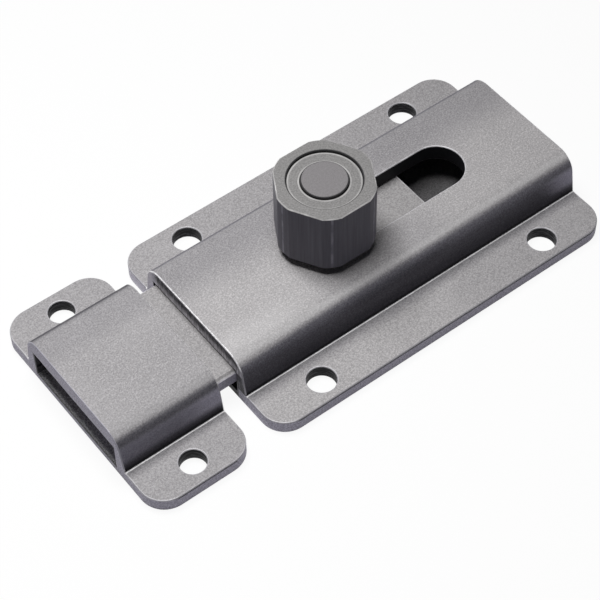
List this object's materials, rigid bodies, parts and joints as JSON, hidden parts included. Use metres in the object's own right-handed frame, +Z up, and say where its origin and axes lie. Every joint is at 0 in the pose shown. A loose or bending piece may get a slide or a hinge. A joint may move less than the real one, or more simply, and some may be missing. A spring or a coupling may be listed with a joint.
{
  "type": "sliding door bolt",
  "caption": "Surface-mounted sliding door bolt cut from extruded channel section, with a hexagonal knob running in a roof slot and a matching keeper.",
  "frame": {"origin": "on the mounting plane, at the centre of the housing's four screw holes", "axes": "+X along the bar, away from the keeper and towards unlocked; +Y across the flanges; +Z up off the door, towards the knob"},
  "size_m": [0.0932, 0.045, 0.0237],
  "materials": {
    "blasted_aluminium": "bead-blasted, gunmetal anodised",
    "blasted_bar": "bead-blasted, gunmetal anodised",
    "knob_metal": "satin, gunmetal anodised",
    "stud_metal": "turned, fine satin",
    "spring_steel": "plain rolled strip"
  },
  "bodies": {
    "fixed_parts": {"housing": "blasted_aluminium", "keeper": "blasted_aluminium"},
    "sliding_bolt": {"bolt": "blasted_bar", "knob_stud": "stud_metal", "knob": "knob_metal", "friction_spring": "spring_steel"}
  },
  "joints": [
    {"name": "bolt_slide", "type": "slide", "parent": "fixed_parts", "child": "sliding_bolt", "axis": [1, 0, 0], "range_m": [0, 0.024]}
  ]
}
